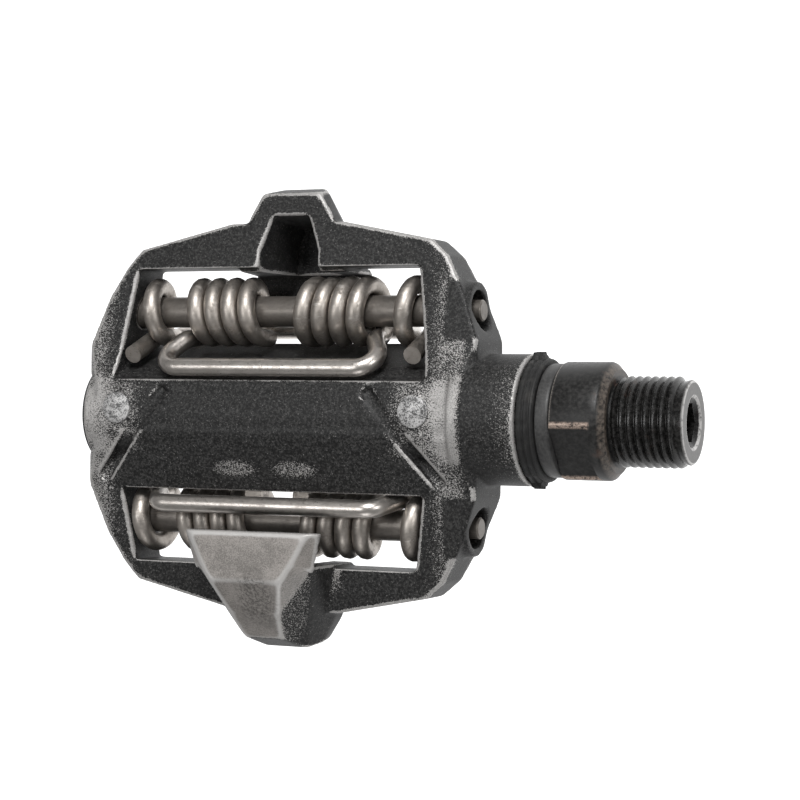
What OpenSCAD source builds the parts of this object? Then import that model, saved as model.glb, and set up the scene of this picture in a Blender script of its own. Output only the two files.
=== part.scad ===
// Double-sided clipless bicycle pedal with sprung wire arches.
// Frame: X runs along the spindle and points into the crank, Y runs fore and aft (+Y to the heel end
// when the upper face is in use), Z points out of the upper face. The origin lies on the spindle axis,
// in the plane of the shoulder that seats against the crank arm.
// The casting repeats itself when it is turned half a turn about the spindle, so that both faces work alike.

/* [Casting] */
// Half width of the cage across the spindle direction
cage_half_w = 35.5; // [35:0.1:39]
// How far the cage lies off the middle of the springs, towards the crank
cage_shift = 1.2; // [0.6:0.1:1.4]
// Half length of the cage, fore and aft, at the end bars
cage_half_l = 32; // [32:0.1:36]
// Half thickness of the cage over the spindle
cage_half_t = 8.7; // [8.7:0.1:9.2]
// Half thickness of the side bars where the windows begin
shoulder_half_t = 6.2; // [5.8:0.1:7]
// Half thickness of the end bars
bar_half_t = 3.1; // [2.6:0.1:4]
// Width of the side bars at mid length
side_bar_w = 7.1; // [6.2:0.1:7.2]
// Fore and aft width of the end bars
end_bar_w = 3.6; // [3:0.1:5]
// Radius of the hub tube inside the cage
hub_r = 9.0; // [9:0.1:9.6]
// Radius of the barrel between cage and crank
barrel_r = 10.5; // [10:0.1:12]
// Length of the barrel outside the cage
barrel_len = 7.6; // [7:0.1:10]
// Length of the seal boot between the barrel and the sleeve
boot_len = 2.9; // [2.4:0.1:4]
// Length of the spacer sleeve between the boot and the wrench collar
sleeve_len = 2.4; // [2:0.1:4]

/* [Noses] */
// Half width of a nose at its inner lip
nose_lip_half_w = 11.2; // [10.5:0.1:13]
// Height of the nose face above the spindle axis
nose_h = 12.8; // [12.4:0.1:14]
// Thickness of the lip that overhangs the spring
nose_lip_t = 2.3; // [1.5:0.1:2.4]
// How far the root of a nose lies off its lip, towards the crank
nose_shift = 2.2; // [0:0.1:2.6]
// How far the chin of a nose stands beyond the end bar
nose_reach = 6; // [5:0.1:7]

/* [Springs] */
// Diameter of the spring wire
wire_d = 3.0; // [2.6:0.05:3.1]
// Mean radius of the coils
coil_r = 4.35; // [4.25:0.05:4.5]
// Distance between neighbouring turns of a coil
coil_pitch = 3.15; // [3.15:0.01:3.25]
// Turns in each coil group of a release spring
coil_turns = 4; // [3:1:4]
// Diameter of the cross pins
pin_d = 5.2; // [4.8:0.1:5.3]
// Distance from the spindle axis to a cross pin
pin_y = 17.4; // [17.4:0.1:18]
// Distance from the spindle axis to the bar of a release arch
release_bar_y = 8.0; // [7.6:0.1:9]
// Distance from the spindle axis to the bar of a nose-side arch
nose_bar_y = 14.6; // [14.5:0.1:15]
// Height of the arch bars above the spindle axis
arch_h = 7.8; // [7.8:0.1:8.4]
// Half span of a release arch between the crossing points of its bends
arch_half_span = 20.9; // [20:0.1:21.2]
// Half span of a nose-side arch between the crossing points of its bends
nose_arch_half_span = 19.6; // [19:0.1:20.4]

/* [Spindle] */
// Diameter of the crank thread, a nine sixteenths inch thread
thread_d = 14.29; // [12.7:0.01:14.29]
// Length of the threaded end, with its end bevel
thread_len = 11.8; // [10:0.1:16]
// Across flats of the hex socket in the threaded end
socket_af = 6; // [5:1:8]
// Diameter of the wrench collar
collar_d = 18.6; // [17:0.1:20]
// Length of the wrench collar
collar_len = 8.7; // [7:0.1:10]
// Across flats of the wrench collar
collar_af = 15; // [14:0.5:16]
// Radius of the needle bearing journal
journal_r = 6; // [5.6:0.1:6]
// Radius of the spindle between the bearings
shaft_r = 5; // [4.6:0.1:5.4]
// Radius of the ball bearing seat
seat_r = 4; // [4:0.1:4.2]

/* [Bearings] */
// Outer radius of the ball bearing
ball_brg_r = 8; // [7.6:0.1:8]
// Width of the ball bearing
ball_brg_w = 5; // [4.5:0.1:5.5]
// Number of balls
ball_count = 9; // [7:1:9]
// Ball diameter
ball_d = 2.4; // [2:0.1:2.5]
// Diameter of a needle roller
needle_d = 1.6; // [1.2:0.1:1.6]
// Number of needle rollers
needle_count = 20; // [14:1:22]
// Length of the needle bearing
needle_brg_len = 11.5; // [9:0.5:11.5]

/* [Hidden] */

$fn = 64;
fit = 0.05;            // running fit, on the radius
gap = 0.3;             // clearance between pieces that never touch
over = 1;              // how far a cutter runs past the face it cuts

wire_r = wire_d / 2;
pin_r = pin_d / 2;
thread_r = thread_d / 2;
collar_r = collar_d / 2;
cage_left = cage_half_w - cage_shift;
cage_right = cage_half_w + cage_shift;
barrel_end = cage_right + barrel_len;
boot_end = barrel_end + boot_len;
collar_start = boot_end + sleeve_len;
centre_offset = collar_start + collar_len;     // from the middle of the casting to the crank shoulder

// Cage outline, one quarter for each side, from the end bar round to the middle of the side
corner_x = cage_half_w - 9.1;
corner_y = cage_half_l - 4.3;
chamfer = 3.2;
right_quarter = [
    [9, cage_half_l + 0.5],
    [corner_x + cage_shift, corner_y + 1.1],
    [corner_x + cage_shift + 3, corner_y - 1.6],
    [cage_right - 2.9, cage_half_l - 12],
    [cage_right, 12]
];
left_quarter = [
    [-8, cage_half_l + 0.2],
    [-corner_x + cage_shift - 0.4, corner_y + 0.2],
    [-corner_x + cage_shift - 2.8, corner_y - 2.6],
    [-cage_left + 3.3, cage_half_l - 12],
    [-cage_left, 11]
];
function flipped(points) = [for (i = [len(points) - 1:-1:0]) [points[i][0], -points[i][1]]];
outline = concat(
    right_quarter,
    flipped(right_quarter),
    [for (p = left_quarter) [p[0], -p[1]]],
    [for (i = [len(left_quarter) - 1:-1:0]) left_quarter[i]]
);

// Side view of the cage, upper edge, from toe to heel
side_profile = [
    [-cage_half_l, bar_half_t], [-11.5, shoulder_half_t], [-3.5, cage_half_t],
    [3.5, cage_half_t], [11.5, shoulder_half_t], [cage_half_l, bar_half_t]
];

// Window between the hub platform and an end bar
window_out_y = cage_half_l - end_bar_w - 3.8;
window_half_out = cage_half_w - side_bar_w - 2.7;
window_half_in = cage_half_w - side_bar_w;
window_in_y = 6;

// Hub platform section, in Y and Z, on the upper side; the lower side is the same turned half a turn
crest = [-2.5, hub_r];
platform_upper = [[8.1, 4.2], crest, [-12.4, 6.0]];
platform = concat(platform_upper, [for (p = platform_upper) [-p[0], -p[1]]]);

// Nose stations, from the lip outward: half width of the face to either side, distance from the axis
// and height. On the crank side the face ends at a ridge that leans in.
lip_y = 18.5;
chin_y = cage_half_l + nose_reach;
nose_root_y = cage_half_l - 8.1;
nose_lip = [nose_lip_half_w, nose_lip_half_w - 0.6, lip_y, nose_h];
nose_face = [
    [nose_lip_half_w - 2.6, nose_lip_half_w - 3.6, nose_root_y, nose_h],
    [nose_lip_half_w - 4.1, nose_lip_half_w - 5.5, cage_half_l - 5.4, nose_h],
    [nose_lip_half_w - 6.9, nose_lip_half_w - 6.9, cage_half_l, nose_h - 2.6],
    [nose_lip_half_w - 7.9, nose_lip_half_w - 7.7, chin_y - 1.8, nose_h - 5.8]
];
nose_flare = 1.0;      // how much wider the lip is at its underside

// Cross pins and what holds them
pin_in = cage_right - 5.2;      // shoulder of the pin, beside the clip
pin_out = cage_left - 3.6;      // blind end of the pin bore
stub_r = 1.75;                  // end of the pin that takes the clip
stub_len = 2.6;
clip_t = 0.8;
clip_r = 3.0;
clip_bore_r = 3.3;

// Coil groups of the release springs
group_start = 17.0;
group_end = group_start - coil_turns * coil_pitch;
// Single turns of the nose-side springs
single_start = group_start + wire_d + coil_pitch - 0.85;
single_pitch = coil_pitch + 0.15;
tail_angle = 23;
peg_top = 6.2;
bend_r = 3.0;
wire_sides = 10;
coil_sides = 8;
turn_steps = 20;
split = 0.02;          // share of a turn by which the coils start after the end of an arch

// Bearings, from the outboard end
ball_brg_x = -cage_left + 11.2;           // inboard face of the ball bearing
ball_brg_out = ball_brg_x - ball_brg_w;   // outboard face
race_t = 1.1;
ball_pitch_r = (ball_brg_r + seat_r) / 2;
circlip_t = 1.0;
nut_h = 2.6;
nut_r = 5.2;                              // over the corners of the lock nut
washer_t = 0.7;
cap_face_x = -cage_left + 0.3;
cap_inner_x = ball_brg_out - circlip_t - 0.6;
cap_lip_r = ball_brg_r + 0.5;
ring_w = 1.0;
ring_x = cap_inner_x - ring_w - 0.6;
ring_in_r = ball_brg_r - 0.8;
cap_hollow_r = nut_r + 0.6 * (ring_in_r - nut_r);   // clears the nut and leaves a wall behind the groove
needle_x = barrel_end - 2.3 - needle_brg_len;
needle_pitch_r = journal_r + fit + needle_d / 2;
needle_shell_r = 8.4;
seal_w = 2.2;
mid_bore_r = shaft_r + 1.5;

// Spindle ends
end_r = 3;                                // thread that takes the lock nut
end_len = washer_t + nut_h + 0.6;
neck_r = journal_r + 0.4;                 // seat of the sleeve and the boot
flat_turn = 40;                           // how far the wrench flats lie turned about the spindle
flat_len = collar_len - 2.3;              // the flats stop short of the shoulder
edge_cut = 1;                             // length of the bevels on the collar and the thread
socket_depth = 8;

// ---- helpers -------------------------------------------------------------------------------------

module placed() {
    translate([-centre_offset, 0, 0]) children();
}

// A cylinder along X from x0 to x1
module rod(x0, x1, r) {
    translate([x0, 0, 0]) rotate([0, 90, 0]) cylinder(h = x1 - x0, r = r);
}

module tube_x(x0, x1, r_out, r_in) {
    difference() {
        rod(x0, x1, r_out);
        rod(x0 - over, x1 + over, r_in);
    }
}

module at_pin(y) {
    translate([0, y, 0]) children();
}

module half_turn() {
    rotate([180, 0, 0]) children();
}

module both_faces() {
    children();
    half_turn() children();
}

module hull_of(points) {
    hull() polyhedron(points = points, faces = [[for (i = [0:len(points) - 1]) i]]);
}

function mirrored(points, shift = 0) = concat(
    [for (p = points) [p[0] + shift, p[1], p[2]]],
    [for (p = points) [-p[0] + shift, p[1], p[2]]]
);

// Centre line helpers: round the corners of a polyline with arcs of radius r
function unit(v) = v / norm(v);
function corner_arc(a, b, c, r, steps) =
    let (
        u = unit(a - b),
        v = unit(c - b),
        half = acos(u * v) / 2,
        back = r / tan(half),
        axis = unit(u + v),
        centre = b + axis * (r / sin(half)),
        p0 = b + u * back,
        p1 = b + v * back,
        sweep = 180 - 2 * half,
        e0 = unit(p0 - centre),
        e1 = unit(p1 - centre),
        side = unit(e1 - e0 * (e0 * e1))
    )
    [for (i = [0:steps]) centre + r * (e0 * cos(sweep * i / steps) + side * sin(sweep * i / steps))];

function rounded(path, r, steps) = concat(
    [path[0]],
    [for (i = [1:len(path) - 2]) each corner_arc(path[i - 1], path[i], path[i + 1], r, steps)],
    [path[len(path) - 1]]
);

// Sweep a round wire along a centre line, carrying the section frame from ring to ring
function tangent(path, i) =
    unit(path[min(i + 1, len(path) - 1)] - path[max(i - 1, 0)]);
function square_to(v, t) = unit(v - t * (v * t));
function carried(path, i, v) =
    i == 0 ? [square_to(v, tangent(path, 0))]
    : let (before = carried(path, i - 1, v))
      concat(before, [square_to(before[i - 1], tangent(path, i))]);

module wire(path, r, sides, start = [0, 0, 1]) {
    rings = len(path);
    normals = carried(path, rings - 1, start);
    points = [
        for (i = [0:rings - 1])
            let (n = normals[i], b = cross(tangent(path, i), n))
            for (k = [0:sides - 1])
                path[i] + r * (n * cos(360 * k / sides) + b * sin(360 * k / sides))
    ];
    skin = [
        for (i = [0:rings - 2])
            for (k = [0:sides - 1])
                let (a = i * sides + k, b = i * sides + (k + 1) % sides)
                each [[a, a + sides, b], [b, a + sides, b + sides]]
    ];
    first = [for (k = [0:sides - 1]) k];
    last = [for (k = [sides - 1:-1:0]) (rings - 1) * sides + k];
    polyhedron(points = points, faces = concat([first], skin, [last]), convexity = 8);
}

// ---- casting -------------------------------------------------------------------------------------

module cage_ring() {
    intersection() {
        translate([0, 0, -cage_half_t])
            linear_extrude(height = 2 * cage_half_t) polygon(outline);
        // side view: full thickness over the spindle, thin at the end bars
        rotate([90, 0, 90]) translate([0, 0, -cage_half_w - over])
            linear_extrude(height = 2 * (cage_half_w + over)) polygon(concat(
                side_profile, [for (i = [len(side_profile) - 1:-1:0]) [side_profile[i][0], -side_profile[i][1]]]
            ));
        // end view: the outer edges of the side bars are bevelled
        rotate([90, 0, 0]) translate([0, 0, -cage_half_l - over])
            linear_extrude(height = 2 * (cage_half_l + over))
                polygon([
                    [cage_right, -cage_half_t + chamfer], [cage_right, cage_half_t - chamfer],
                    [cage_right - chamfer, cage_half_t], [-cage_left + chamfer, cage_half_t],
                    [-cage_left, cage_half_t - chamfer], [-cage_left, -cage_half_t + chamfer],
                    [-cage_left + chamfer, -cage_half_t], [cage_right - chamfer, -cage_half_t]
                ]);
    }
}

module window() {
    translate([0, 0, -cage_half_t - over])
        linear_extrude(height = 2 * (cage_half_t + over))
            polygon([
                [-window_half_in, window_in_y], [window_half_in, window_in_y],
                [window_half_out, window_out_y], [-window_half_out, window_out_y]
            ]);
}

module hub_platform() {
    rotate([90, 0, 90]) translate([0, 0, -window_half_in - over])
        linear_extrude(height = 2 * (window_half_in + over)) polygon(platform);
}

function both_edges(stations) = concat(
    [for (p = stations) [-p[0], -p[2], p[3]]],
    [for (p = stations) [p[1], -p[2], p[3]]]
);

// Nose on the upper face at the toe end: a solid root by the end bar and a lip over the spring
module nose() {
    y0 = -nose_root_y;
    hull_of(concat(
        both_edges(nose_face),
        mirrored([[nose_lip_half_w - 0.4, y0, nose_h - nose_lip_t]]),
        mirrored([
            [nose_lip_half_w - 7.4, -chin_y, 2.4],
            [nose_lip_half_w - 5.8, -chin_y + 0.8, 0],
            [nose_lip_half_w - 6.0, -chin_y + 1.2, -bar_half_t],
            [nose_lip_half_w - 3.6, -cage_half_l - 0.9, 0],
            [nose_lip_half_w - 3.6, -cage_half_l - 0.9, -bar_half_t],
            [nose_lip_half_w - 1.8, y0, bar_half_t + 1],
            [nose_lip_half_w - 1.8, y0, -bar_half_t]
        ], nose_shift)
    ));
    hull_of(concat(
        both_edges([nose_lip, nose_face[0]]),
        mirrored([
            [nose_lip_half_w + nose_flare, -lip_y, nose_h - 1.2],
            [nose_lip_half_w + nose_flare, -lip_y, nose_h - nose_lip_t],
            [nose_lip_half_w - 0.4, y0 - 1, nose_h - nose_lip_t]
        ])
    ));
}

// Pocket in the back of a nose, open towards the window and the other face
module nose_pocket() {
    y1 = -cage_half_l + 5;
    y2 = -cage_half_l + 9;
    hull_of(mirrored([
        [3.4, -cage_half_l - 1.4, -6], [5.6, y1, -6], [5.6, y2, -6],
        [2.4, -cage_half_l, nose_h - 5.2], [4.2, y1, nose_h - 4.2], [4.2, y2, nose_h - 4.2]
    ], nose_shift));
}

module pad_disc(x) {
    translate([x, 1.1, cage_half_t - over]) cylinder(h = over + 0.25, r = 2.6);
}

// Groove between the hub saddle and a pad
module pad_groove() {
    translate([18.2, 4.5, shoulder_half_t - 0.6]) rotate([0, 0, -50])
        translate([0, -1, 0]) cube([20, 2, 5]);
}

module pin_boss(y) {
    at_pin(y) rod(pin_in - 0.4, pin_in + 3.1, 4.7);
}

module pin_bores(y) {
    at_pin(y) {
        rod(-pin_out, pin_in, pin_r + fit);
        rod(pin_in - over, cage_right + over, clip_bore_r);
    }
}

module pedal_body() color([0.13, 0.13, 0.135]) placed() difference() {
    union() {
        difference() {
            union() {
                difference() {
                    cage_ring();
                    both_faces() window();
                }
                hub_platform();
                rod(-cage_left + 0.6, cage_right, hub_r);
            }
            both_faces() for (s = [0, 1]) mirror([s, 0, 0]) pad_groove();
        }
        rod(-cage_left + 0.6, cage_right, hub_r - 0.3);
        both_faces() nose();
        rod(cage_right - 3.8, barrel_end, barrel_r);
        both_faces() for (s = [-1, 1]) pad_disc(s * 27);
        for (s = [-1, 1]) pin_boss(s * pin_y);
    }
    both_faces() nose_pocket();
    for (s = [-1, 1]) pin_bores(s * pin_y);
    // stepped bore for the bearings
    rod(-cage_left - over, ball_brg_x, ball_brg_r);
    rod(-cage_left - over, -cage_left + 1.5, cap_lip_r + fit);
    rod(ball_brg_out - circlip_t - fit, ball_brg_out + fit, ball_brg_r + 0.6);
    rod(ball_brg_x - over, needle_x + over, mid_bore_r);
    rod(needle_x, barrel_end + over, needle_shell_r);
    rod(barrel_end - seal_w, barrel_end + over, needle_shell_r + 0.5);
}

// ---- spindle and what turns on it ----------------------------------------------------------------

// Bevel at the end of a round part
module bevel(x, r) {
    translate([x, 0, 0]) rotate([0, 90, 0])
        cylinder(h = edge_cut, r1 = r, r2 = r - 0.9 * edge_cut);
}

module spindle() color([0.19, 0.175, 0.165]) placed() difference() {
    union() {
        rod(ball_brg_out - end_len, ball_brg_out, end_r);
        rod(ball_brg_out, ball_brg_x, seat_r);
        rod(ball_brg_x, needle_x, shaft_r);
        rod(needle_x, barrel_end, journal_r);
        rod(barrel_end, collar_start, neck_r);
        difference() {
            rod(collar_start, centre_offset - edge_cut, collar_r);
            for (s = [0, 180]) rotate([s + flat_turn, 0, 0])
                translate([collar_start - over, -collar_r - over, collar_af / 2])
                    cube([flat_len + over, 2 * (collar_r + over), collar_r]);
        }
        bevel(centre_offset - edge_cut, collar_r - 0.1);
        rod(centre_offset - over, centre_offset + thread_len - edge_cut, thread_r);
        bevel(centre_offset + thread_len - edge_cut, thread_r);
    }
    translate([centre_offset + thread_len - socket_depth, 0, 0]) rotate([30, 0, 0]) rotate([0, 90, 0])
        cylinder(h = socket_depth + over, r = socket_af / sqrt(3), $fn = 6);
}

module spacer_sleeve() color([0.12, 0.12, 0.12]) placed()
    tube_x(boot_end, collar_start - 0.05, collar_r - 0.3, neck_r + fit);

module seal_boot() color([0.08, 0.08, 0.08]) placed()
    tube_x(barrel_end + 0.1, boot_end, barrel_r - 0.5, neck_r + fit);

module lip_seal() color([0.06, 0.06, 0.06]) placed()
    tube_x(barrel_end - seal_w + 0.05, barrel_end - 0.1, needle_shell_r + 0.5 - 0.02, journal_r + fit);

module needle_shell() color([0.5, 0.5, 0.52]) placed() difference() {
    rod(needle_x + 0.05, barrel_end - seal_w - 0.05, needle_shell_r - 0.02);
    rod(needle_x + 0.6, barrel_end - seal_w - 0.65, needle_pitch_r + needle_d / 2 + fit);
    rod(needle_x - over, barrel_end, journal_r + 0.5);
}

module needle_rollers() color([0.72, 0.72, 0.74]) placed()
    for (i = [0:needle_count - 1])
        rotate([360 * i / needle_count, 0, 0]) translate([0, needle_pitch_r, 0])
            rod(needle_x + 0.9, barrel_end - seal_w - 0.95, needle_d / 2);

module ball_groove() {
    rotate([0, 90, 0]) rotate_extrude()
        translate([ball_pitch_r, 0]) circle(r = ball_d / 2 + fit, $fn = 32);
}

module outer_race() color([0.6, 0.6, 0.62]) placed() difference() {
    tube_x(ball_brg_out, ball_brg_x, ball_brg_r - 0.02, ball_brg_r - race_t);
    translate([(ball_brg_out + ball_brg_x) / 2, 0, 0]) ball_groove();
}

module inner_race() color([0.6, 0.6, 0.62]) placed() difference() {
    tube_x(ball_brg_out, ball_brg_x, seat_r + race_t, seat_r + 0.02);
    translate([(ball_brg_out + ball_brg_x) / 2, 0, 0]) ball_groove();
}

module bearing_balls() color([0.8, 0.8, 0.82]) placed()
    translate([(ball_brg_out + ball_brg_x) / 2, 0, 0])
        for (i = [0:ball_count - 1])
            rotate([360 * i / ball_count, 0, 0]) translate([0, ball_pitch_r, 0])
                sphere(r = ball_d / 2, $fn = 32);

module ball_cage() color([0.7, 0.6, 0.35]) placed()
    translate([(ball_brg_out + ball_brg_x) / 2, 0, 0]) difference() {
        tube_x(-ball_d / 2, ball_d / 2, ball_pitch_r + 0.35, ball_pitch_r - 0.35);
        for (i = [0:ball_count - 1])
            rotate([360 * i / ball_count, 0, 0])
                translate([0, ball_pitch_r, 0]) sphere(r = ball_d / 2 + fit, $fn = 32);
    }

module bearing_shields() color([0.3, 0.3, 0.32]) placed()
    for (x = [ball_brg_out + 0.15, ball_brg_x - 0.45])
        tube_x(x, x + 0.3, ball_brg_r - race_t - 0.01, seat_r + race_t + 0.15);

module bearing_circlip() color([0.35, 0.35, 0.36]) placed() difference() {
    tube_x(ball_brg_out - circlip_t, ball_brg_out, ball_brg_r + 0.55, ball_brg_r - 1.1);
    translate([ball_brg_out - circlip_t - over, 0, -1.6])
        cube([circlip_t + 2 * over, ball_brg_r + 2, 3.2]);
}

module lock_washer() color([0.55, 0.55, 0.56]) placed()
    tube_x(ball_brg_out - washer_t, ball_brg_out, nut_r, end_r + fit);

module lock_nut() color([0.45, 0.45, 0.46]) placed() difference() {
    translate([ball_brg_out - washer_t - nut_h, 0, 0]) rotate([0, 90, 0])
        cylinder(h = nut_h, r = nut_r, $fn = 6);
    rod(ball_brg_out - washer_t - nut_h - over, ball_brg_out, end_r + 0.02);
}

module end_cap() color([0.1, 0.1, 0.1]) placed() difference() {
    union() {
        rod(cap_face_x, -cage_left + 1.5 - 0.02, cap_lip_r);
        rod(-cage_left + 1, cap_inner_x, ball_brg_r - 0.02);
    }
    rod(cap_face_x + 1.3, cap_inner_x + over, cap_hollow_r);
    translate([cap_face_x - 0.01, 0, 0]) rotate([0, 90, 0]) cylinder(h = 1.0, r = 4, $fn = 6);
    tube_x(ring_x, ring_x + ring_w, ball_brg_r + over, ring_in_r);
}

module cap_o_ring() color([0.05, 0.05, 0.05]) placed()
    tube_x(ring_x + fit, ring_x + ring_w - fit, ball_brg_r - 0.02, ring_in_r + 0.02);

// ---- cross pins ----------------------------------------------------------------------------------

module cross_pin(y) placed() at_pin(y) {
    rod(-pin_out + 0.1, pin_in - 0.9, pin_r);
    rod(pin_in - 1, pin_in - 0.9 + stub_len, stub_r);
}

module rear_pin() color([0.2, 0.19, 0.18]) cross_pin(pin_y);
module front_pin() color([0.2, 0.19, 0.18]) cross_pin(-pin_y);

module pin_clips() color([0.35, 0.33, 0.32]) placed()
    for (s = [-1, 1]) at_pin(s * pin_y) difference() {
        tube_x(pin_in + 0.1, pin_in + 0.1 + clip_t, clip_r, stub_r + 0.02);
        translate([pin_in - over, -1.0, 0]) cube([clip_t + 2 * over, 2, clip_r + over]);
    }

// ---- springs: in the frame of a cross pin, with the hub towards -Y and the arch towards +Z ----------

function to_all(half_path) = concat(
    [for (i = [len(half_path) - 1:-1:1]) [-half_path[i][0], half_path[i][1], half_path[i][2]]],
    half_path
);

// Turns start on the hub side of the pin and go under it first
function turn_point(t, x) = [x, -coil_r * cos(360 * t), -coil_r * sin(360 * t)];

release_bar = release_bar_y - pin_y;
release_half = rounded([
    [0, release_bar, arch_h],
    [arch_half_span, release_bar, arch_h],
    [group_start + 0.5, -coil_r - 0.3, 2.4],
    [group_start, -coil_r, 0]
], bend_r, 6);

nose_bar = nose_bar_y - pin_y;
nose_half = rounded([
    [0, nose_bar, arch_h],
    [nose_arch_half_span, nose_bar, arch_h],
    [single_start - 0.2, -coil_r + 0.2, 2.6],
    [single_start, -coil_r, 0]
], 2.6, 6);

// Coil group of a release spring, with the short tail that bears on the hub
group_path = concat(
    [turn_point(split, group_start - coil_pitch * split)],
    [for (i = [1:coil_turns * turn_steps])
        turn_point(i / turn_steps, group_start - coil_pitch * i / turn_steps)],
    [[group_end, -coil_r, -2.6]]
);

// Single turn of a nose-side spring, with the peg that stands beside the hub
single_sweep = 1 - tail_angle / 360;
single_steps = turn_steps - 1;
single_path = concat(
    [for (i = [0:single_steps])
        let (t = split + (single_sweep - split) * i / single_steps)
        turn_point(t, single_start + single_pitch * t)],
    [let (
        run = (peg_top + coil_r * sin(tail_angle)) / cos(tail_angle)
    )
    [single_start + single_pitch,
        -coil_r * cos(tail_angle) - run * sin(tail_angle),
        -peg_top]]
);

module arch(half_path) {
    wire(to_all(half_path), wire_r, wire_sides, [0, 1, 0]);
}

module coils(path) {
    for (s = [0, 1]) mirror([s, 0, 0]) wire(path, wire_r, coil_sides, [1, 0, 0]);
}

module release_frame(upper) {
    placed() rotate([upper ? 0 : 180, 0, 0]) at_pin(pin_y) children();
}

module nose_frame(upper) {
    placed() rotate([upper ? 180 : 0, 0, 0]) at_pin(pin_y) mirror([0, 0, 1]) children();
}

arch_colour = [0.62, 0.6, 0.57];
coil_colour = [0.5, 0.47, 0.43];

module top_release_arch() color(arch_colour) release_frame(true) arch(release_half);
module top_release_coils() color(coil_colour) release_frame(true) coils(group_path);
module bottom_release_arch() color(arch_colour) release_frame(false) arch(release_half);
module bottom_release_coils() color(coil_colour) release_frame(false) coils(group_path);
module top_nose_arch() color(arch_colour) nose_frame(true) arch(nose_half);
module top_nose_coils() color(coil_colour) nose_frame(true) coils(single_path);
module bottom_nose_arch() color(arch_colour) nose_frame(false) arch(nose_half);
module bottom_nose_coils() color(coil_colour) nose_frame(false) coils(single_path);

pedal_body();
spindle();
seal_boot();
spacer_sleeve();
lip_seal();
needle_shell();
needle_rollers();
outer_race();
inner_race();
bearing_balls();
ball_cage();
bearing_shields();
bearing_circlip();
lock_washer();
lock_nut();
end_cap();
cap_o_ring();
rear_pin();
front_pin();
pin_clips();
top_release_arch();
top_release_coils();
top_nose_arch();
top_nose_coils();
bottom_release_arch();
bottom_release_coils();
bottom_nose_arch();
bottom_nose_coils();
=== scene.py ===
import math

import bpy
import numpy as np
from mathutils import Matrix, Vector
from mathutils.kdtree import KDTree


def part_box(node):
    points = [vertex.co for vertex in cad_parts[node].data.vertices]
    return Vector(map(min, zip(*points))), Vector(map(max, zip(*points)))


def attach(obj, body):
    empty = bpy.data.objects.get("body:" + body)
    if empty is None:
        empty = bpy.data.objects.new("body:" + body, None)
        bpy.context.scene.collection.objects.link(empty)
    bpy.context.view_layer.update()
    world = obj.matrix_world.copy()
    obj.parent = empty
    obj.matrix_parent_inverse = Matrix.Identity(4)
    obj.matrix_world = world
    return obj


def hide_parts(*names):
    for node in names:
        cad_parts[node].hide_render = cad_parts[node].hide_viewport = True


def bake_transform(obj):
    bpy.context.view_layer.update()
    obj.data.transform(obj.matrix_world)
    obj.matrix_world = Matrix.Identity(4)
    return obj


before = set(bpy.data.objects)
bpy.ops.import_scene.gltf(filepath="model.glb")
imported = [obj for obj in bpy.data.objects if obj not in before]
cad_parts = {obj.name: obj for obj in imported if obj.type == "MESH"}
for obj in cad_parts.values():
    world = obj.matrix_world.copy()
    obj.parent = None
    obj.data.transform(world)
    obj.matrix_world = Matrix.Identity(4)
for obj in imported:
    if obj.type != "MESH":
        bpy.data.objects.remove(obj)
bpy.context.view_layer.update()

# ---- Studio --------------------------------------------------------------------------------------
# The pedal hangs over a wide pale floor, far enough below for its shadow to fade out. Large soft
# boxes light it from the heel end, from above and from the crank side.
mm = 0.001
arch_low, arch_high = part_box("top_release_arch")
centre = Vector(((arch_low.x + arch_high.x) / 2, 0, 0))     # middle of the casting, on the spindle axis


def at(x, y, z):
    """A point given in millimetres from the middle of the casting."""
    return centre + Vector((x, y, z)) * mm


look_at = at(20.9, 2.95, 0)
tilt = math.radians(23.5)
roll = math.radians(0.7)
camera_distance = 345 * mm
towards_camera = Vector((math.sin(tilt), 0, math.cos(tilt)))
level_right = Vector((math.cos(tilt), 0, -math.sin(tilt)))
level_up = Vector((0, 1, 0))
right = level_right * math.cos(roll) + level_up * math.sin(roll)
up = level_up * math.cos(roll) - level_right * math.sin(roll)
camera = bpy.data.objects.new("camera", bpy.data.cameras.new("camera"))
camera.data.lens = 95.5
camera.data.clip_start = 10 * mm
placing = Matrix((right, up, towards_camera)).transposed().to_4x4()
placing.translation = look_at + towards_camera * camera_distance
camera.matrix_world = placing
bpy.context.scene.collection.objects.link(camera)
bpy.context.scene.camera = camera

soft_boxes = {
    "heel_box": ((0.15, 0.45, 0.50), 0.20, 4.6),
    "top_box": ((-0.30, 0.05, 0.80), 0.30, 1.6),
    "crank_box": ((0.65, 0.15, 0.40), 0.22, 1.3),
    "toe_box": ((0.05, -0.70, 0.35), 0.35, 0.9),
}
for box_name, (place, size, power) in soft_boxes.items():
    lamp = bpy.data.lights.new(box_name, "AREA")
    lamp.size = size
    lamp.energy = power
    holder = bpy.data.objects.new(box_name, lamp)
    holder.location = centre + Vector(place)
    holder.rotation_euler = (-Vector(place)).to_track_quat("-Z", "Y").to_euler()
    bpy.context.scene.collection.objects.link(holder)

studio_air = bpy.data.worlds.new("studio_air")
studio_air.use_nodes = True
studio_air.node_tree.nodes["Background"].inputs["Color"].default_value = (1, 1, 1, 1)
studio_air.node_tree.nodes["Background"].inputs["Strength"].default_value = 0.24
bpy.context.scene.world = studio_air
bpy.context.scene.view_settings.view_transform = "Standard"


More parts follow.
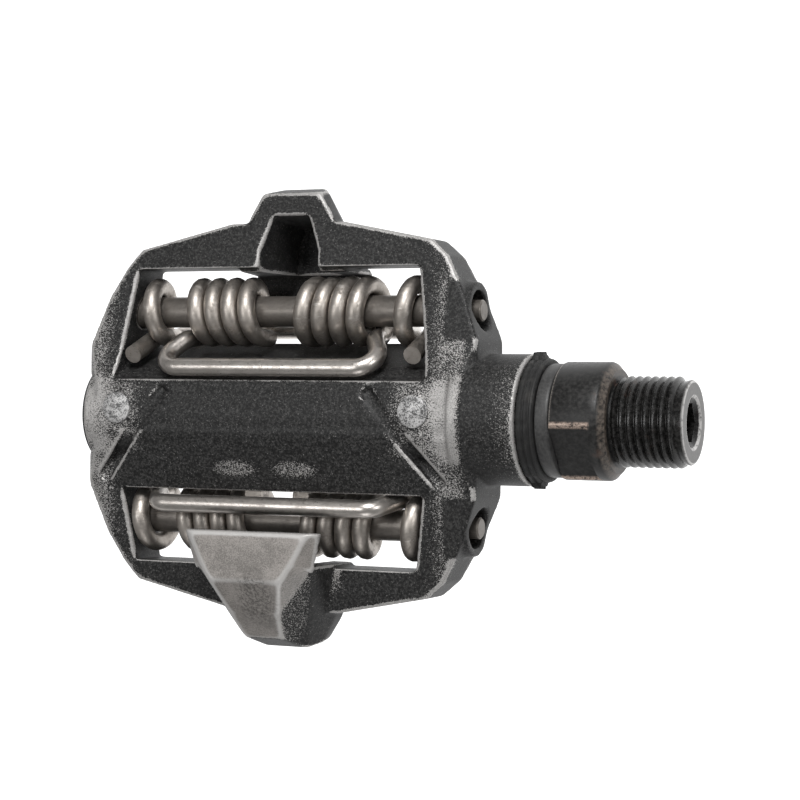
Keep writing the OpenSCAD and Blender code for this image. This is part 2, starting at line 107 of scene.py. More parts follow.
class Value:
    """A shader socket: arithmetic on it adds Math nodes, and node() adds any other node."""

    def __init__(self, tree, socket=None):
        self.tree = tree
        self.socket = socket

    def node(self, kind, settings=None, inputs=None, out=0):
        made = self.tree.nodes.new("ShaderNode" + kind)
        for setting, chosen in (settings or {}).items():
            if setting == "stops":
                ramp = made.color_ramp
                while len(ramp.elements) < len(chosen):
                    ramp.elements.new(0.5)
                for stop, (place, colour) in zip(ramp.elements, chosen):
                    stop.position = place
                    stop.color = (*colour, 1)
            else:
                setattr(made, setting, chosen)
        for key, given in (inputs or {}).items():
            if isinstance(given, Value):
                self.tree.links.new(given.socket, made.inputs[key])
            else:
                made.inputs[key].default_value = given
        return Value(self.tree, made.outputs[out])

    def math(self, operation, *terms):
        """A Math node on the terms alone; self only says which material it goes in."""
        return self.node("Math", {"operation": operation}, dict(enumerate(terms)))

    def __add__(self, other):
        return self.math("ADD", self, other)

    def __sub__(self, other):
        return self.math("SUBTRACT", self, other)

    def __rsub__(self, other):
        return self.math("SUBTRACT", other, self)

    def __mul__(self, other):
        return self.math("MULTIPLY", self, other)

    def __abs__(self):
        return self.math("ABSOLUTE", self)

    __radd__ = __add__
    __rmul__ = __mul__

    def step(self, low, high, bottom=0.0, top=1.0):
        """A smooth step from bottom to top as the value goes from low to high."""
        return self.node(
            "MapRange", {"interpolation_type": "SMOOTHSTEP"},
            {"Value": self, "From Min": low, "From Max": high, "To Min": bottom, "To Max": top})

    def mix(self, first, second):
        """The first colour where the value is 0, and the second where it is 1."""
        return self.node("Mix", {"data_type": "RGBA"}, {0: self, 6: first, 7: second}, 2)

    def noise(self, where, per_metre, detail=2.0, rough=0.5, stretch=None):
        if stretch:
            where = self.node("VectorMath", {"operation": "MULTIPLY"}, {0: where, 1: stretch})
        return self.node(
            "TexNoise", {}, {"Vector": where, "Scale": per_metre, "Detail": detail, "Roughness": rough})


def finish(name):
    """A new material, its shader node and a Value on its nodes."""
    made = bpy.data.materials.new(name)
    made.use_nodes = True
    return made, made.node_tree.nodes["Principled BSDF"], Value(made.node_tree)


def feed(shader, **given):
    """Sets or links the shader's sockets: Base_Color stands for Base Color."""
    for key, value in given.items():
        socket = shader.inputs[key.replace("_", " ")]
        if isinstance(value, Value):
            value.tree.links.new(value.socket, socket)
        else:
            socket.default_value = value


def places(values):
    """The object coordinates of a material, and x, y and z in millimetres from the casting's middle."""
    where = values.node("TexCoord", out=3)
    from_middle = values.node("VectorMath", {"operation": "SUBTRACT"}, {0: where, 1: centre})
    in_mm = values.node("VectorMath", {"operation": "SCALE"}, {0: from_middle, "Scale": 1000.0})
    return where, *(values.node("SeparateXYZ", {}, {0: in_mm}, axis) for axis in range(3))


def grey(level, warmth=0.0):
    return (level * (1 + warmth), level, level * (1 - warmth), 1)


floor_paper, floor_shader, floor_values = finish("floor_paper")
paper_grain = floor_values.noise(floor_values.node("TexCoord", out=3), 400)
feed(floor_shader, Base_Color=paper_grain.step(0.2, 0.8).mix(grey(0.86), grey(0.9)), Roughness=0.9,
     Emission_Color=grey(1.0), Emission_Strength=0.62)
bpy.ops.object.select_all(action="DESELECT")
bpy.ops.mesh.primitive_plane_add(size=30, location=centre + Vector((0, 0, -0.3)))
floor = bpy.context.object
floor.name = "floor"
floor.data.materials.append(floor_paper)

# ---- Spindle -------------------------------------------------------------------------------------
# One turned and blackened steel forging: a nut thread and a ball bearing seat at the outboard end, a
# needle bearing journal in the barrel, a collar with two wrench flats, and the threaded end that
# screws into the crank, with a hex socket in it. Rust creeps out along its worn edges.
journal_start = 30.5
barrel_end = 44.3
collar_start = 49.6
shoulder = 58.3
journal_r = 6.0
neck_r = 6.4
nut_end, thread_end = ((end.x - centre.x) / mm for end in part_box("spindle"))
seat_start, seat_end = ((end.x - centre.x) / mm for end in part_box("inner_race"))
collar_r = 9.3
flat_end = 56.0          # where the wrench flats stop
across_flats = 15.0
flats_turned = math.radians(40)
thread_r = 7.12
root_r = 6.35
thread_pitch = 1.27
end_face_r = 6.55
socket_flats = 6.0
mouth_r = 4.1            # countersink round the mouth of the hex socket


def use(piece):
    """Makes this the only selected object, and the active one."""
    bpy.ops.object.select_all(action="DESELECT")
    piece.select_set(True)
    bpy.context.view_layer.objects.active = piece


def modify(piece, kind, **settings):
    modifier = piece.modifiers.new(kind.title(), kind)
    for setting, chosen in settings.items():
        setattr(modifier, setting, chosen)
    use(piece)
    bpy.ops.object.modifier_apply(modifier=modifier.name)


def settle(piece, name, *materials, smooth=30):
    """Names the piece, puts its place into its mesh, shades it smooth and gives it its materials."""
    use(piece)
    bpy.ops.object.transform_apply(location=True, rotation=True, scale=True)
    bpy.ops.object.shade_smooth_by_angle(angle=math.radians(smooth))
    piece.name = name
    piece.data.materials.clear()
    for material in materials:
        piece.data.materials.append(material)
    return piece


def turned(profile, steps=128):
    """A part turned about the spindle axis: profile holds (distance along X, radius) in millimetres."""
    bpy.ops.object.select_all(action="DESELECT")
    bpy.ops.mesh.primitive_plane_add(size=mm, location=at(profile[0][0], profile[0][1], 0))
    part = bpy.context.object
    bpy.ops.object.mode_set(mode="EDIT")
    bpy.ops.mesh.merge(type="CENTER")
    for (x0, r0), (x1, r1) in zip(profile, profile[1:]):
        bpy.ops.mesh.extrude_vertices_move(
            TRANSFORM_OT_translate={"value": ((x1 - x0) * mm, (r1 - r0) * mm, 0)})
    bpy.ops.mesh.select_all(action="SELECT")
    bpy.ops.mesh.spin(steps=steps, angle=2 * math.pi, center=centre, axis=(1, 0, 0))
    bpy.ops.mesh.select_all(action="SELECT")
    bpy.ops.mesh.remove_doubles(threshold=0.001 * mm)
    bpy.ops.mesh.normals_make_consistent(inside=False)
    bpy.ops.object.mode_set(mode="OBJECT")
    return part


def cut(part, cutter):
    modify(part, "BOOLEAN", operation="DIFFERENCE", solver="EXACT", object=cutter)
    bpy.data.objects.remove(cutter)


spindle = turned([
    (nut_end, 0), (nut_end, 2.7), (nut_end + 0.3, 3), (seat_start, 3), (seat_start, 3.9),
    (seat_start + 0.1, 4), (seat_end, 4), (seat_end, 5), (journal_start, 5), (journal_start, journal_r),
    (barrel_end, journal_r), (barrel_end, neck_r), (collar_start, neck_r),
    (collar_start, 8.95), (collar_start + 0.12, 9.2), (collar_start + 0.35, collar_r),
    (flat_end, collar_r), (57.0, collar_r), (57.35, 9.15), (57.6, 8.85),
    (58.15, 8.3), (shoulder, 8.1), (shoulder, root_r),
    (thread_end - 1.3, root_r), (thread_end - 0.9, root_r + 0.15), (thread_end - 0.35, end_face_r + 0.04),
    (thread_end - 0.12, end_face_r - 0.1), (thread_end, end_face_r - 0.3), (thread_end, mouth_r + 0.12),
    (thread_end - 0.1, mouth_r), (thread_end - 0.85, 3.35), (thread_end - 0.85, 0),
])
for turn in (0, math.pi):
    facing = flats_turned + turn
    out = Vector((0, -math.sin(facing), math.cos(facing)))
    cutter_half = 6.0
    cutter_middle = at((collar_start + flat_end) / 2 - 1, 0, 0) + out * (across_flats / 2 + cutter_half) * mm
    bpy.ops.object.select_all(action="DESELECT")
    bpy.ops.mesh.primitive_cube_add(
        size=1, location=cutter_middle, rotation=(facing, 0, 0),
        scale=((flat_end - collar_start + 2) * mm, 40 * mm, 2 * cutter_half * mm))
    flat_cutter = bpy.context.object
    modify(flat_cutter, "BEVEL", width=0.5 * mm, segments=4, limit_method="NONE")
    cut(spindle, flat_cutter)

bpy.ops.object.select_all(action="DESELECT")
bpy.ops.mesh.primitive_cylinder_add(
    vertices=6, radius=socket_flats / math.sqrt(3) * mm, depth=10 * mm, location=at(thread_end - 3, 0, 0),
    rotation=(0, math.pi / 2, 0))
hex_cutter = bpy.context.object
bpy.ops.object.mode_set(mode="EDIT")
bpy.ops.mesh.select_all(action="SELECT")
bpy.ops.transform.rotate(value=math.radians(30), orient_axis="X", center_override=at(thread_end - 3, 0, 0))
bpy.ops.object.mode_set(mode="OBJECT")
cut(spindle, hex_cutter)

# The thread is one tooth screwed along the axis, and its crests are turned down at both ends.
first_crest, last_crest = shoulder + 0.6, thread_end - 1.2
tooth = [(-0.66, -0.12), (-0.20, 0.70), (-0.10, 0.77), (0.10, 0.77), (0.20, 0.70), (0.66, -0.12), (0, -0.5)]
bpy.ops.object.select_all(action="DESELECT")
bpy.ops.mesh.primitive_circle_add(vertices=len(tooth), radius=mm, fill_type="NOTHING", location=centre)
thread = bpy.context.object
for corner, (along, high) in zip(thread.data.vertices, tooth):
    corner.co = Vector((first_crest + along, root_r + high, 0)) * mm
turns = (last_crest - first_crest) / thread_pitch
modify(thread, "SCREW", axis="X", angle=2 * math.pi * turns, screw_offset=(last_crest - first_crest) * mm,
       steps=round(96 * turns), render_steps=round(96 * turns), use_smooth_shade=True)
use(thread)
bpy.ops.object.transform_apply(location=True, rotation=True, scale=True)
bpy.ops.object.mode_set(mode="EDIT")
bpy.ops.mesh.select_all(action="DESELECT")
bpy.ops.mesh.select_non_manifold()
bpy.ops.mesh.edge_face_add()
bpy.ops.mesh.select_all(action="SELECT")
bpy.ops.mesh.quads_convert_to_tris()
bpy.ops.mesh.normals_make_consistent(inside=False)
bpy.ops.object.mode_set(mode="OBJECT")
for corner in thread.data.vertices:
    offset = corner.co - centre
    x = offset.x / mm
    radius = math.hypot(offset.y, offset.z) / mm
    at_start = root_r + 0.9 * max(0.0, x - shoulder - 0.2)
    at_end = root_r + 0.85 * max(0.0, thread_end - 0.5 - x) / 1.5
    allowed = min(thread_r, at_start, at_end)
    if radius > allowed:
        corner.co.y *= allowed / radius
        corner.co.z *= allowed / radius
use(spindle)
thread.select_set(True)
bpy.ops.object.join()

black_oxide, shader, values = finish("black_oxide")
where, x, y, z = places(values)
radius = values.math("SQRT", y * y + z * z)
grain = values.noise(where, 1600, 4, 0.6)
blotch = values.noise(where, 260, 3, 0.6)
fine = values.noise(where, 5200, 2, 0.6)
end_face = x.step(thread_end - 0.4, thread_end - 0.25) * radius.step(3.9, 4.1)
end_edge = (x.step(thread_end - 0.5, thread_end - 0.35)
            * abs(radius - end_face_r + 0.22).step(0.06, 0.2, 1, 0) * grain.step(0.3, 0.55, 0.2, 1.0))
mouth = (x.step(thread_end - 0.95, thread_end - 0.8)
         * abs(radius - mouth_r).step(0.12, 0.3, 1, 0) * grain.step(0.3, 0.6))
shoulder_face = x.step(57.2, 57.7) * x.step(58.4, 58.6, 1, 0) * radius.step(7.0, 7.4)
rubbed = abs(x - collar_start).step(0.1, 0.45, 1, 0) * radius.step(8.9, 9.15)
across = abs(y * -math.sin(flats_turned) + z * math.cos(flats_turned))
flat_edge = abs(across - across_flats / 2).step(0.05, 0.42, 1, 0)
flat_rim = (flat_edge * radius.step(8.8, 9.15) * x.step(flat_end - 0.2, flat_end + 0.4, 1, 0)
            * x.step(collar_start - 0.4, collar_start - 0.1))
weathered = blotch.step(0.58, 0.78) * x.step(55.8, 57.2) * x.step(58.6, 59.4, 1, 0.5) * 0.4
rust = values.math("MAXIMUM", flat_rim * grain.step(0.3, 0.6), weathered)
crest = radius.step(thread_r - 0.12, thread_r) * x.step(58.5, 59) * fine.step(0.5, 0.75)
on_thread = x.step(58.5, 58.9) * (1 - end_face)
base = grain.step(0.35, 0.7).mix(grey(0.004, 0.03), grey(0.020, 0.04))
base = (rust * 0.8).mix(base, (0.13, 0.07, 0.05, 1))
base = (shoulder_face * grain.step(0.25, 0.7) * 0.7).mix(base, (0.13, 0.105, 0.085, 1))
base = (rubbed * fine.step(0.3, 0.6) * 0.7).mix(base, (0.34, 0.31, 0.28, 1))
base = (flat_rim * fine.step(0.25, 0.55) * grain.step(0.3, 0.55) * 0.9).mix(base, (0.46, 0.37, 0.31, 1))
base = (crest * 0.2).mix(base, grey(0.25))
faced = grain.step(0.25, 0.75).mix(grey(0.07, 0.02), grey(0.17, 0.02))
base = (end_face * fine.step(0.1, 0.4, 0.7, 1.0)).mix(base, faced)
base = values.math("MINIMUM", end_edge + mouth, 0.8).mix(base, grey(0.55, 0.02))
bared = values.math("MINIMUM", rubbed * 0.6 + end_face * 0.6 + crest * 0.25, 1.0)
height = grain * 0.6 + fine * 0.4
feed(shader, Base_Color=base, Metallic=bared,
     Roughness=grain.step(0.2, 0.8, 0.36, 0.54) + rust * 0.25 - on_thread * 0.2, Specular_IOR_Level=0.32,
     Normal=values.node("Bump", {}, {"Height": height, "Strength": 0.35, "Distance": 0.05 * mm}))
settle(spindle, "turned_spindle", black_oxide)
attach(spindle, "axle")
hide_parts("spindle")

# ---- Seal boot and spacer sleeve -----------------------------------------------------------------
# A ribbed rubber boot keeps grit out of the needle bearing. It is pressed over the neck of the
# spindle against the barrel, and its outer lip has torn at two places. A thin steel sleeve holds it.
boot = turned([
    (44.42, 6.46), (44.42, 9.55), (44.55, 9.85), (44.85, 10.0), (45.25, 9.98), (45.5, 9.72), (45.62, 9.7),
    (45.8, 9.92), (46.15, 9.93), (46.4, 9.66), (46.52, 9.64), (46.7, 9.8), (46.95, 9.72), (47.15, 9.4),
    (47.18, 6.46), (44.42, 6.46),
], 160)
use(boot)
bpy.ops.object.transform_apply(location=True, rotation=True, scale=True)
tears = ((math.radians(84), 2.4, 0.8), (math.radians(-86), 2.0, 1.0), (math.radians(200), 0.5, 0.3))
for corner in boot.data.vertices:
    offset = (corner.co - centre) / mm
    radius_here = math.hypot(offset.y, offset.z)
    if radius_here > 9.3 and offset.x < 46.3:
        angle = math.atan2(offset.y, offset.z)
        ripple = 0.05 * math.sin(angle * 23) + 0.04 * math.sin(angle * 41 + 1)
        lift = ripple
        for place, tall, wide in tears:
            off = math.atan2(math.sin(angle - place), math.cos(angle - place)) / (wide * 0.22)
            lift += tall * 0.6 * max(0.0, 1 - off * off) * (0.6 + 0.4 * math.sin(angle * 67))
        grown = min((radius_here + lift), 10.85) / radius_here
        corner.co.y *= grown
        corner.co.z *= grown
black_rubber, shader, values = finish("black_rubber")
where, x, y, z = places(values)
grit = values.noise(where, 2600, 4, 0.65)
dust = values.noise(where, 420, 3, 0.55)
base = grit.step(0.35, 0.8).mix(grey(0.006), grey(0.020, 0.02))
base = (dust.step(0.55, 0.75) * 0.25).mix(base, grey(0.06, 0.08))
feed(shader, Base_Color=base, Roughness=grit.step(0.2, 0.8, 0.55, 0.8), Specular_IOR_Level=0.35,
     Normal=values.node("Bump", {}, {"Height": grit, "Strength": 0.6, "Distance": 0.08 * mm}))
settle(boot, "ribbed_boot", black_rubber)
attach(boot, "axle")
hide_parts("seal_boot")

sleeve = turned([
    (47.24, 6.46), (47.24, 8.8), (47.35, 8.95), (47.6, 9.0), (48.9, 9.0), (49.25, 8.96), (49.4, 8.85),
    (49.52, 8.6), (49.52, 6.46), (47.24, 6.46),
])
satin_black, shader, values = finish("satin_black")
where, x, y, z = places(values)
grain = values.noise(where, 2200, 4, 0.6)
turning = values.noise(where, 900, 2, 0.5, (6.0, 0.4, 0.4))
base = grain.step(0.3, 0.8).mix(grey(0.016), grey(0.045, 0.02))
feed(shader, Base_Color=(turning.step(0.6, 0.75) * 0.3).mix(base, grey(0.13, 0.05)),
     Roughness=grain.step(0.2, 0.8, 0.42, 0.6), Metallic=turning.step(0.6, 0.75) * 0.3,
     Normal=values.node("Bump", {}, {"Height": grain, "Strength": 0.4, "Distance": 0.05 * mm}))
settle(sleeve, "steel_sleeve", satin_black)
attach(sleeve, "axle")
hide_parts("spacer_sleeve")

# ---- Casting -------------------------------------------------------------------------------------
# One aluminium casting, painted black: cage, hub tube, barrel, pads and the two noses. Its edges are
# round as cast, and shoes and rocks have rubbed the paint off them down to speckled bare metal. On the
# noses the side facets carry painted shade and the ridges a painted highlight.
casting = bpy.data.objects.new("casting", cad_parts["pedal_body"].data.copy())
bpy.context.scene.collection.objects.link(casting)
use(casting)
bpy.ops.object.mode_set(mode="EDIT")
bpy.ops.mesh.select_all(action="SELECT")
bpy.ops.mesh.remove_doubles(threshold=0.002 * mm)
bpy.ops.object.mode_set(mode="OBJECT")
modify(casting, "REMESH", mode="VOXEL", voxel_size=0.3 * mm, adaptivity=0)


def corners_of(mesh):
    got = np.empty(len(mesh.vertices) * 3)
    mesh.vertices.foreach_get("co", got)
    return got.reshape(-1, 3)


def relaxed(points, pairs, rounds, share=0.5):
    """Moves each point towards the mean of its neighbours, round after round."""
    first, second = pairs[:, 0], pairs[:, 1]
    count = len(points)
    neighbours = np.bincount(first, minlength=count) + np.bincount(second, minlength=count)
    for _ in range(rounds):
        total = np.empty_like(points)
        for axis in range(3):
            total[:, axis] = (np.bincount(first, points[second, axis], count)
                              + np.bincount(second, points[first, axis], count))
        points = points + share * (total / neighbours[:, None] - points)
    return points


edge_pairs = np.empty(len(casting.data.edges) * 2, dtype=int)
casting.data.edges.foreach_get("vertices", edge_pairs)
edge_pairs = edge_pairs.reshape(-1, 2)
as_cast = relaxed(corners_of(casting.data), edge_pairs, 5)
casting.data.vertices.foreach_set("co", as_cast.ravel())
casting.data.update()
outward = np.empty(len(casting.data.vertices) * 3)
casting.data.vertices.foreach_get("normal", outward)
outward = outward.reshape(-1, 3)
stands_out = {}
for width, rounds in (("narrow", 12), ("wide", 90)):
    stands_out[width] = ((as_cast - relaxed(as_cast, edge_pairs, rounds)) * outward).sum(1) / mm
tree = KDTree(len(as_cast))
for index, place in enumerate(as_cast):
    tree.insert(place, index)
tree.balance()
modify(casting, "DECIMATE", ratio=min(1.0, 185000 / (2 * len(casting.data.polygons))))
for width, amounts in stands_out.items():
    kept = casting.data.attributes.new(width + "_edge", "FLOAT", "POINT")
    kept.data.foreach_set("value", [amounts[tree.find(corner.co)[1]] for corner in casting.data.vertices])

facing = np.empty(len(casting.data.vertices) * 3)
casting.data.vertices.foreach_get("normal", facing)
facing = facing.reshape(-1, 3)
from_middle = (corners_of(casting.data) - np.array(centre)) / mm
face_side = np.sign(from_middle[:, 2])
rise = from_middle[:, 2] * face_side
ahead = -from_middle[:, 1] * face_side


def ramp(amount, low, high):
    return np.clip((amount - low) / (high - low), 0, 1)


# Bare cast skin on the nose, partly real wear and partly painted shade: the facing ramp keeps the nose's
# side facets in dark paint so they read as shaded.
nose_skin = (ramp(ahead, 17.6, 18.4) * ramp(rise, 3.4, 5.6) * ramp(facing[:, 2] * face_side, 0.5, 0.8)
             * ramp(np.abs(from_middle[:, 0]), 13.0, 12.4))
kept = casting.data.attributes.new("nose_skin", "FLOAT", "POINT")
kept.data.foreach_set("value", nose_skin)

pin_low, pin_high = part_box("rear_pin")
pin_y = (pin_low.y + pin_high.y) / 2 / mm
cast_black, shader, values = finish("cast_black")
where, x, y, z = places(values)
narrow = values.node("Attribute", {"attribute_name": "narrow_edge"}, out=2)
wide = values.node("Attribute", {"attribute_name": "wide_edge"}, out=2)
speck = values.noise(where, 5200, 2, 0.7)
grain = values.noise(where, 2300, 3, 0.6)
patch = values.noise(where, 230, 3, 0.55)
side = abs(x)
face_up = values.math("SIGN", z)
tall = z * face_up
fore = y * face_up                     # negative towards the nose of the face that is looked at
run = abs(y)
off_barrel = side.step(34.2, 35.8, 1, 0)
on_side = side.step(26.5, 32) * off_barrel * tall.step(1.5, 4.5)
on_pad = side.step(21, 25) * off_barrel * tall.step(7.4, 8.3) * run.step(9, 14, 1, 0)
# The nose mask holds both the real bare nose and the painted shade on the nose's side facets.
nose_bare_with_facet_shade = values.node("Attribute", {"attribute_name": "nose_skin"}, out=2)
off_axis = values.math("SQRT", y * y + z * z)
on_barrel = x.step(38.5, 44.3) * tall.step(1, 10)
barrel_rim = x.step(barrel_end - 0.35, barrel_end - 0.15) * off_axis.step(9.9, 10.15)
near_pin = x.step(30.5, 31.5) * abs(run - pin_y).step(4.2, 5.4, 1, 0)
edge_wear = ((narrow.step(0.045, 0.115) * 0.52 + wide.step(0.2, 0.5) * 0.3) * patch.step(0.35, 0.6, 0.5, 1.0)
             * x.step(36.5, 37.5, 1.0, 0.35))
rubbing = on_side * 0.23 + on_pad * 0.2 + on_barrel * 0.15 + barrel_rim * 0.25 + 0.05
rubbing = rubbing * patch.step(0.3, 0.6, 0.75, 1.05)
shuffle = (side - 5.5) * (side - 5.5) * 0.06 + (fore + 8.6) * (fore + 8.6) * 0.5
rubbing = rubbing + shuffle.step(0.3, 1.6, 0.22, 0.0) * tall.step(6, 7)
amount = (edge_wear + rubbing) * (1 - near_pin * 0.9) + nose_bare_with_facet_shade * 0.9
bare = values.node("MapRange", {"interpolation_type": "SMOOTHSTEP"}, {
    "Value": speck * 1.1 + grain * 0.3 + amount, "From Min": 0.92, "From Max": 1.10})
scar = (x - 0.8) * (x - 0.8) * 0.9 + (fore + 29.6) * (fore + 29.6) * 0.55
stain = nose_bare_with_facet_shade * scar.step(2, 20, 0.8, 0.0) * (speck + grain).step(0.9, 1.16)
paint = (grain * 0.6 + speck * 0.4).step(0.42, 0.62).mix(grey(0.002), grey(0.034, 0.02))
metal = speck.step(0.3, 0.7).mix(grey(0.24, 0.02), grey(0.42, 0.03))
skin = (speck * 0.6 + patch * 0.4).step(0.36, 0.62)
metal = nose_bare_with_facet_shade.mix(metal, skin.mix((0.155, 0.145, 0.135, 1), (0.30, 0.28, 0.262, 1)))
# Painted highlight: bare metal on the nose's convex ridges is lightened towards grey 0.5.
metal = (nose_bare_with_facet_shade * narrow.step(0.015, 0.06) * 0.8).mix(metal, grey(0.5, 0.02))
metal = (stain * 0.9).mix(metal, grey(0.028, 0.04))
feed(shader, Base_Color=bare.mix(paint, metal), Metallic=bare * 0.5,
     Roughness=grain.step(0.2, 0.8, 0.44, 0.62) - bare * 0.04, Specular_IOR_Level=0.3,
     Normal=values.node("Bump", {}, {
         "Height": grain * 0.7 + speck * 0.6 - bare * 0.4, "Strength": 0.6, "Distance": 0.08 * mm}))
pad_metal, pad_shader, pad_values = finish("pad_metal")
where = pad_values.node("TexCoord", out=3)
pits = pad_values.noise(where, 5200, 2, 0.7)
cloud = pad_values.noise(where, 900, 3, 0.6)
grazed = (pits * 0.8 + cloud * 0.4).step(0.52, 0.66)
shine = cloud.step(0.3, 0.7).mix(grey(0.34, 0.01), grey(0.50, 0.01))
feed(pad_shader, Base_Color=grazed.mix(grey(0.05), shine),
     Metallic=grazed * 0.5, Roughness=grazed.step(0, 1, 0.6, 0.45),
     Normal=pad_values.node("Bump", {}, {"Height": pits, "Strength": 0.5, "Distance": 0.06 * mm}))
settle(casting, "cast_body", cast_black, smooth=60)
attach(casting, "cage")
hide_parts("pedal_body")

# A round boss stands a little proud in the middle of each pad, where the sole of the shoe rubs it.
boss_x, boss_y, boss_z = 27, 1.1, 8.62
for face_name, pad_face in (("top", 1), ("bottom", -1)):
    for side_name, pad_side in (("left", -1), ("right", 1)):
        disc = turned([(0, 0), (0, 2.55), (0.5, 2.6), (0.62, 2.55), (0.7, 2.4), (0.72, 0)], 64)
        use(disc)
        bpy.ops.object.transform_apply(location=True, rotation=True, scale=True)
        stand = Matrix.Translation(at(pad_side * boss_x, pad_face * boss_y, pad_face * boss_z))
        stand = stand @ Matrix.Rotation(-pad_face * math.pi / 2, 4, "Y") @ Matrix.Translation(-centre)
        disc.data.transform(stand)
        settle(disc, f"pad_boss_{face_name}_{side_name}", pad_metal)
        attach(disc, "cage")

# ---- Springs -------------------------------------------------------------------------------------
# Each cross pin carries two wound springs of hard drawn wire: a release spring with four turns at
# each side, and around it a nose-side spring with one turn at each side. Dirt dulls the coils, and
# the cleat keeps the arches bright.
wire_r = 1.5
coil_r = 4.35
coil_pitch = 3.15
coil_turns = 4
group_start = 17.0
single_start = 22.3
single_pitch = 3.3
tail_angle = math.radians(23)
peg_top = 6.2
arch_height = 7.8
springs = {"top_release": "release", "bottom_release": "release", "top_nose": "nose", "bottom_nose": "nose"}


def round_bend(before, corner, after, bend, steps=12):
    """Points on an arc of this radius that replaces the corner between two straight runs."""
    back = (before - corner).normalized()
    on = (after - corner).normalized()
    half = back.angle(on) / 2
    middle = corner + (back + on).normalized() * (bend / math.sin(half))
    start = corner + back * (bend / math.tan(half)) - middle
    turn_about = start.cross(-back)
    swing = math.pi - 2 * half
    return [middle + Matrix.Rotation(swing * i / steps, 3, turn_about) @ start for i in range(steps + 1)]


def wire(path, name):
    """A round wire along the path, in millimetres: a curve with a round section, made a mesh."""
    bpy.ops.object.select_all(action="DESELECT")
    bpy.ops.curve.primitive_nurbs_path_add()
    strand = bpy.context.object
    strand.location = (0, 0, 0)
    strand.data.splines.clear()
    line = strand.data.splines.new("POLY")
    line.points.add(len(path) - 1)
    for point, (px, py, pz) in zip(line.points, path):
        point.co = (*at(px, py, pz), 1)
    strand.data.bevel_depth = wire_r * mm
    strand.data.bevel_resolution = 6
    strand.data.use_fill_caps = True
    strand.data.twist_mode = "MINIMUM"
    use(strand)
    bpy.ops.object.convert(target="MESH")
    bpy.ops.object.mode_set(mode="EDIT")
    bpy.ops.mesh.select_all(action="SELECT")
    bpy.ops.mesh.remove_doubles(threshold=0.002 * mm)
    bpy.ops.mesh.normals_make_consistent(inside=False)
    bpy.ops.object.mode_set(mode="OBJECT")
    return strand


def spring_steel(name, light, dark, dirt, roughness):
    made, shader, values = finish(name)
    where, x, y, z = places(values)
    grain = values.noise(where, 2400, 4, 0.65)
    film = values.noise(where, 330, 4, 0.6)
    scuff = values.noise(where, 900, 3, 0.6, (0.25, 1.0, 1.0))
    base = film.step(0.3, 0.7).mix(light, dark)
    base = (film.step(0.5, 0.72) * grain.step(0.35, 0.65) * dirt).mix(base, (0.055, 0.045, 0.038, 1))
    base = (scuff.step(0.58, 0.72) * 0.4).mix(base, (0.66, 0.63, 0.59, 1))
    feed(shader, Base_Color=base, Metallic=1.0 - film.step(0.5, 0.72) * grain.step(0.35, 0.65) * dirt * 0.7,
         Roughness=grain.step(0.2, 0.8, roughness, roughness + 0.2) + film.step(0.45, 0.75) * dirt * 0.2,
         Normal=values.node("Bump", {}, {
             "Height": grain * 0.6 + scuff * 0.4, "Strength": 0.3, "Distance": 0.05 * mm}))
    return made


coil_steel = spring_steel("coil_steel", (0.44, 0.405, 0.37, 1), (0.29, 0.265, 0.24, 1), 0.75, 0.36)
arch_steel = spring_steel("arch_steel", (0.57, 0.535, 0.50, 1), (0.43, 0.40, 0.37, 1), 0.35, 0.24)

for name, kind in springs.items():
    # In the spring's own frame the pin is the X axis, the hub lies towards -Y and the arch towards +Z.
    upper = name.startswith("top")
    if kind == "release":
        bar_y = 8.0 - pin_y
        corners = [Vector(c) for c in ((-20.9, bar_y, arch_height), (20.9, bar_y, arch_height),
                                       (group_start + 0.5, -coil_r - 0.3, 2.4), (group_start, -coil_r, 0))]
        bend = 3.0
        start_x = group_start
    else:
        bar_y = 14.6 - pin_y
        corners = [Vector(c) for c in ((-19.6, bar_y, arch_height), (19.6, bar_y, arch_height),
                                       (single_start - 0.2, -coil_r + 0.2, 2.6), (single_start, -coil_r, 0))]
        bend = 2.6
        start_x = single_start
    leg = (round_bend(corners[0], corners[1], corners[2], bend)
           + round_bend(corners[1], corners[2], corners[3], bend) + [corners[3]])
    if kind == "release":
        steps = 24 * coil_turns
        coil = [Vector((start_x - coil_pitch * i / 24, -coil_r * math.cos(math.tau * i / 24),
                        -coil_r * math.sin(math.tau * i / 24))) for i in range(steps + 1)]
        coil.append(coil[-1] + Vector((0, 0, -2.6)))
    else:
        share = 1 - tail_angle / math.tau
        coil = []
        for i in range(33):
            t = share * i / 32
            coil.append(Vector((start_x + single_pitch * t, -coil_r * math.cos(math.tau * t),
                                -coil_r * math.sin(math.tau * t))))
        drop = (peg_top + coil_r * math.sin(tail_angle)) / math.cos(tail_angle)
        tail_y = -coil_r * math.cos(tail_angle) - drop * math.sin(tail_angle)
        coil.append(Vector((start_x + single_pitch, tail_y, -peg_top)))

    def placed(point, mirrored):
        """Out of the spring's frame: half a turn about the spindle for the lower face."""
        px, py, pz = (-point.x if mirrored else point.x), point.y + pin_y, point.z
        if kind == "release":
            return Vector((px, py, pz)) if upper else Vector((px, -py, -pz))
        return Vector((px, -py, pz)) if upper else Vector((px, py, -pz))

    arch = wire([placed(p, True) for p in reversed(leg)] + [placed(p, False) for p in leg], name)
    settle(arch, name + "_wire", arch_steel, smooth=60)
    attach(arch, name)
    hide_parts(name + "_arch")
    for hand, mirrored in (("left", True), ("right", False)):
        turn = wire([placed(p, mirrored) for p in coil], name)
        settle(turn, name + "_" + hand + "_turns", coil_steel, smooth=60)
        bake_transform(turn)
        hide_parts(name + "_coils")

# ---- Bearings, pins and closures -----------------------------------------------------------------
# Ground bearing steel, a brass ball cage, a zinc plated nut, washer and circlip, dark clips and the
# moulded end cap keep the shapes of the frame and get their finishes here. The blued cross pins are
# turned anew, and each is held in the casting by its clip.


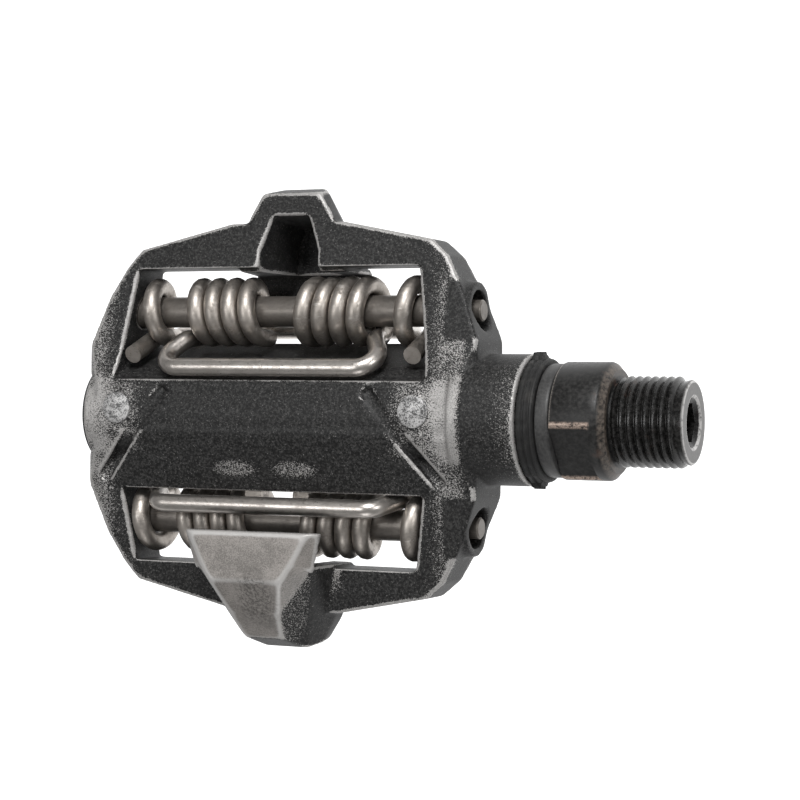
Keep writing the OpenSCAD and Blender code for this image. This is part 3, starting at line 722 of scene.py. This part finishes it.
def ground_steel(name, colour, metallic, roughness, per_metre, strength):
    made, shader, values = finish(name)
    where, x, y, z = places(values)
    grain = values.noise(where, per_metre, 4, 0.6)
    film = values.noise(where, per_metre / 6, 3, 0.55)
    base = grain.step(0.25, 0.75).mix(tuple(c * 0.8 for c in colour[:3]) + (1,), colour)
    base = (film.step(0.55, 0.75) * 0.35).mix(base, tuple(c * 0.45 for c in colour[:3]) + (1,))
    feed(shader, Base_Color=base, Metallic=metallic,
         Roughness=grain.step(0.2, 0.8, roughness, roughness + 0.15) + film.step(0.5, 0.8) * 0.1,
         Normal=values.node("Bump", {}, {"Height": grain, "Strength": strength, "Distance": 0.04 * mm}))
    return made


# Each pin is turned, with a shoulder for the clip and a stub that ends just inside the counterbore.
blued_pin = ground_steel("blued_pin", (0.16, 0.145, 0.13, 1), 0.6, 0.34, 2200, 0.5)
stub_len = 2.6
stub_end = 35.4
stub_r = 1.75
for pin in ("rear_pin", "front_pin"):
    pin_low, pin_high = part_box(pin)
    pin_start, pin_end = (pin_low.x - centre.x) / mm, (pin_high.x - centre.x) / mm
    pin_r = (pin_high.z - pin_low.z) / 2 / mm
    pin_shoulder = pin_end - stub_len
    bar = turned([
        (pin_start, 0), (pin_start, pin_r - 0.3), (pin_start + 0.3, pin_r), (pin_shoulder - 0.2, pin_r),
        (pin_shoulder, pin_r - 0.2), (pin_shoulder, stub_r), (stub_end - 0.25, stub_r),
        (stub_end, stub_r - 0.25), (stub_end, 0),
    ], 64)
    bar.location.y += (pin_low.y + pin_high.y) / 2
    settle(bar, pin + "_bar", blued_pin)
    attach(bar, "cage")
    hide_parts(pin)
finishes = {
    ground_steel("ground_steel", (0.62, 0.61, 0.60, 1), 1.0, 0.15, 3000, 0.15):
        ("outer_race", "inner_race", "bearing_balls", "needle_rollers"),
    ground_steel("drawn_steel", (0.40, 0.40, 0.40, 1), 1.0, 0.32, 2000, 0.3):
        ("needle_shell", "bearing_shields"),
    ground_steel("cage_brass", (0.62, 0.43, 0.17, 1), 1.0, 0.3, 2400, 0.25): ("ball_cage",),
    ground_steel("zinc_plate", (0.46, 0.46, 0.44, 1), 1.0, 0.35, 1800, 0.3):
        ("lock_washer", "lock_nut", "bearing_circlip"),
    ground_steel("clip_steel", (0.16, 0.145, 0.13, 1), 0.65, 0.32, 2200, 0.4): ("pin_clips",),
    ground_steel("moulded_cap", (0.020, 0.020, 0.021, 1), 0.0, 0.48, 2600, 0.5): ("end_cap",),
    black_rubber: ("lip_seal", "cap_o_ring"),
}
for material, nodes in finishes.items():
    for node in nodes:
        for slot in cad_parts[node].material_slots:
            slot.material = material
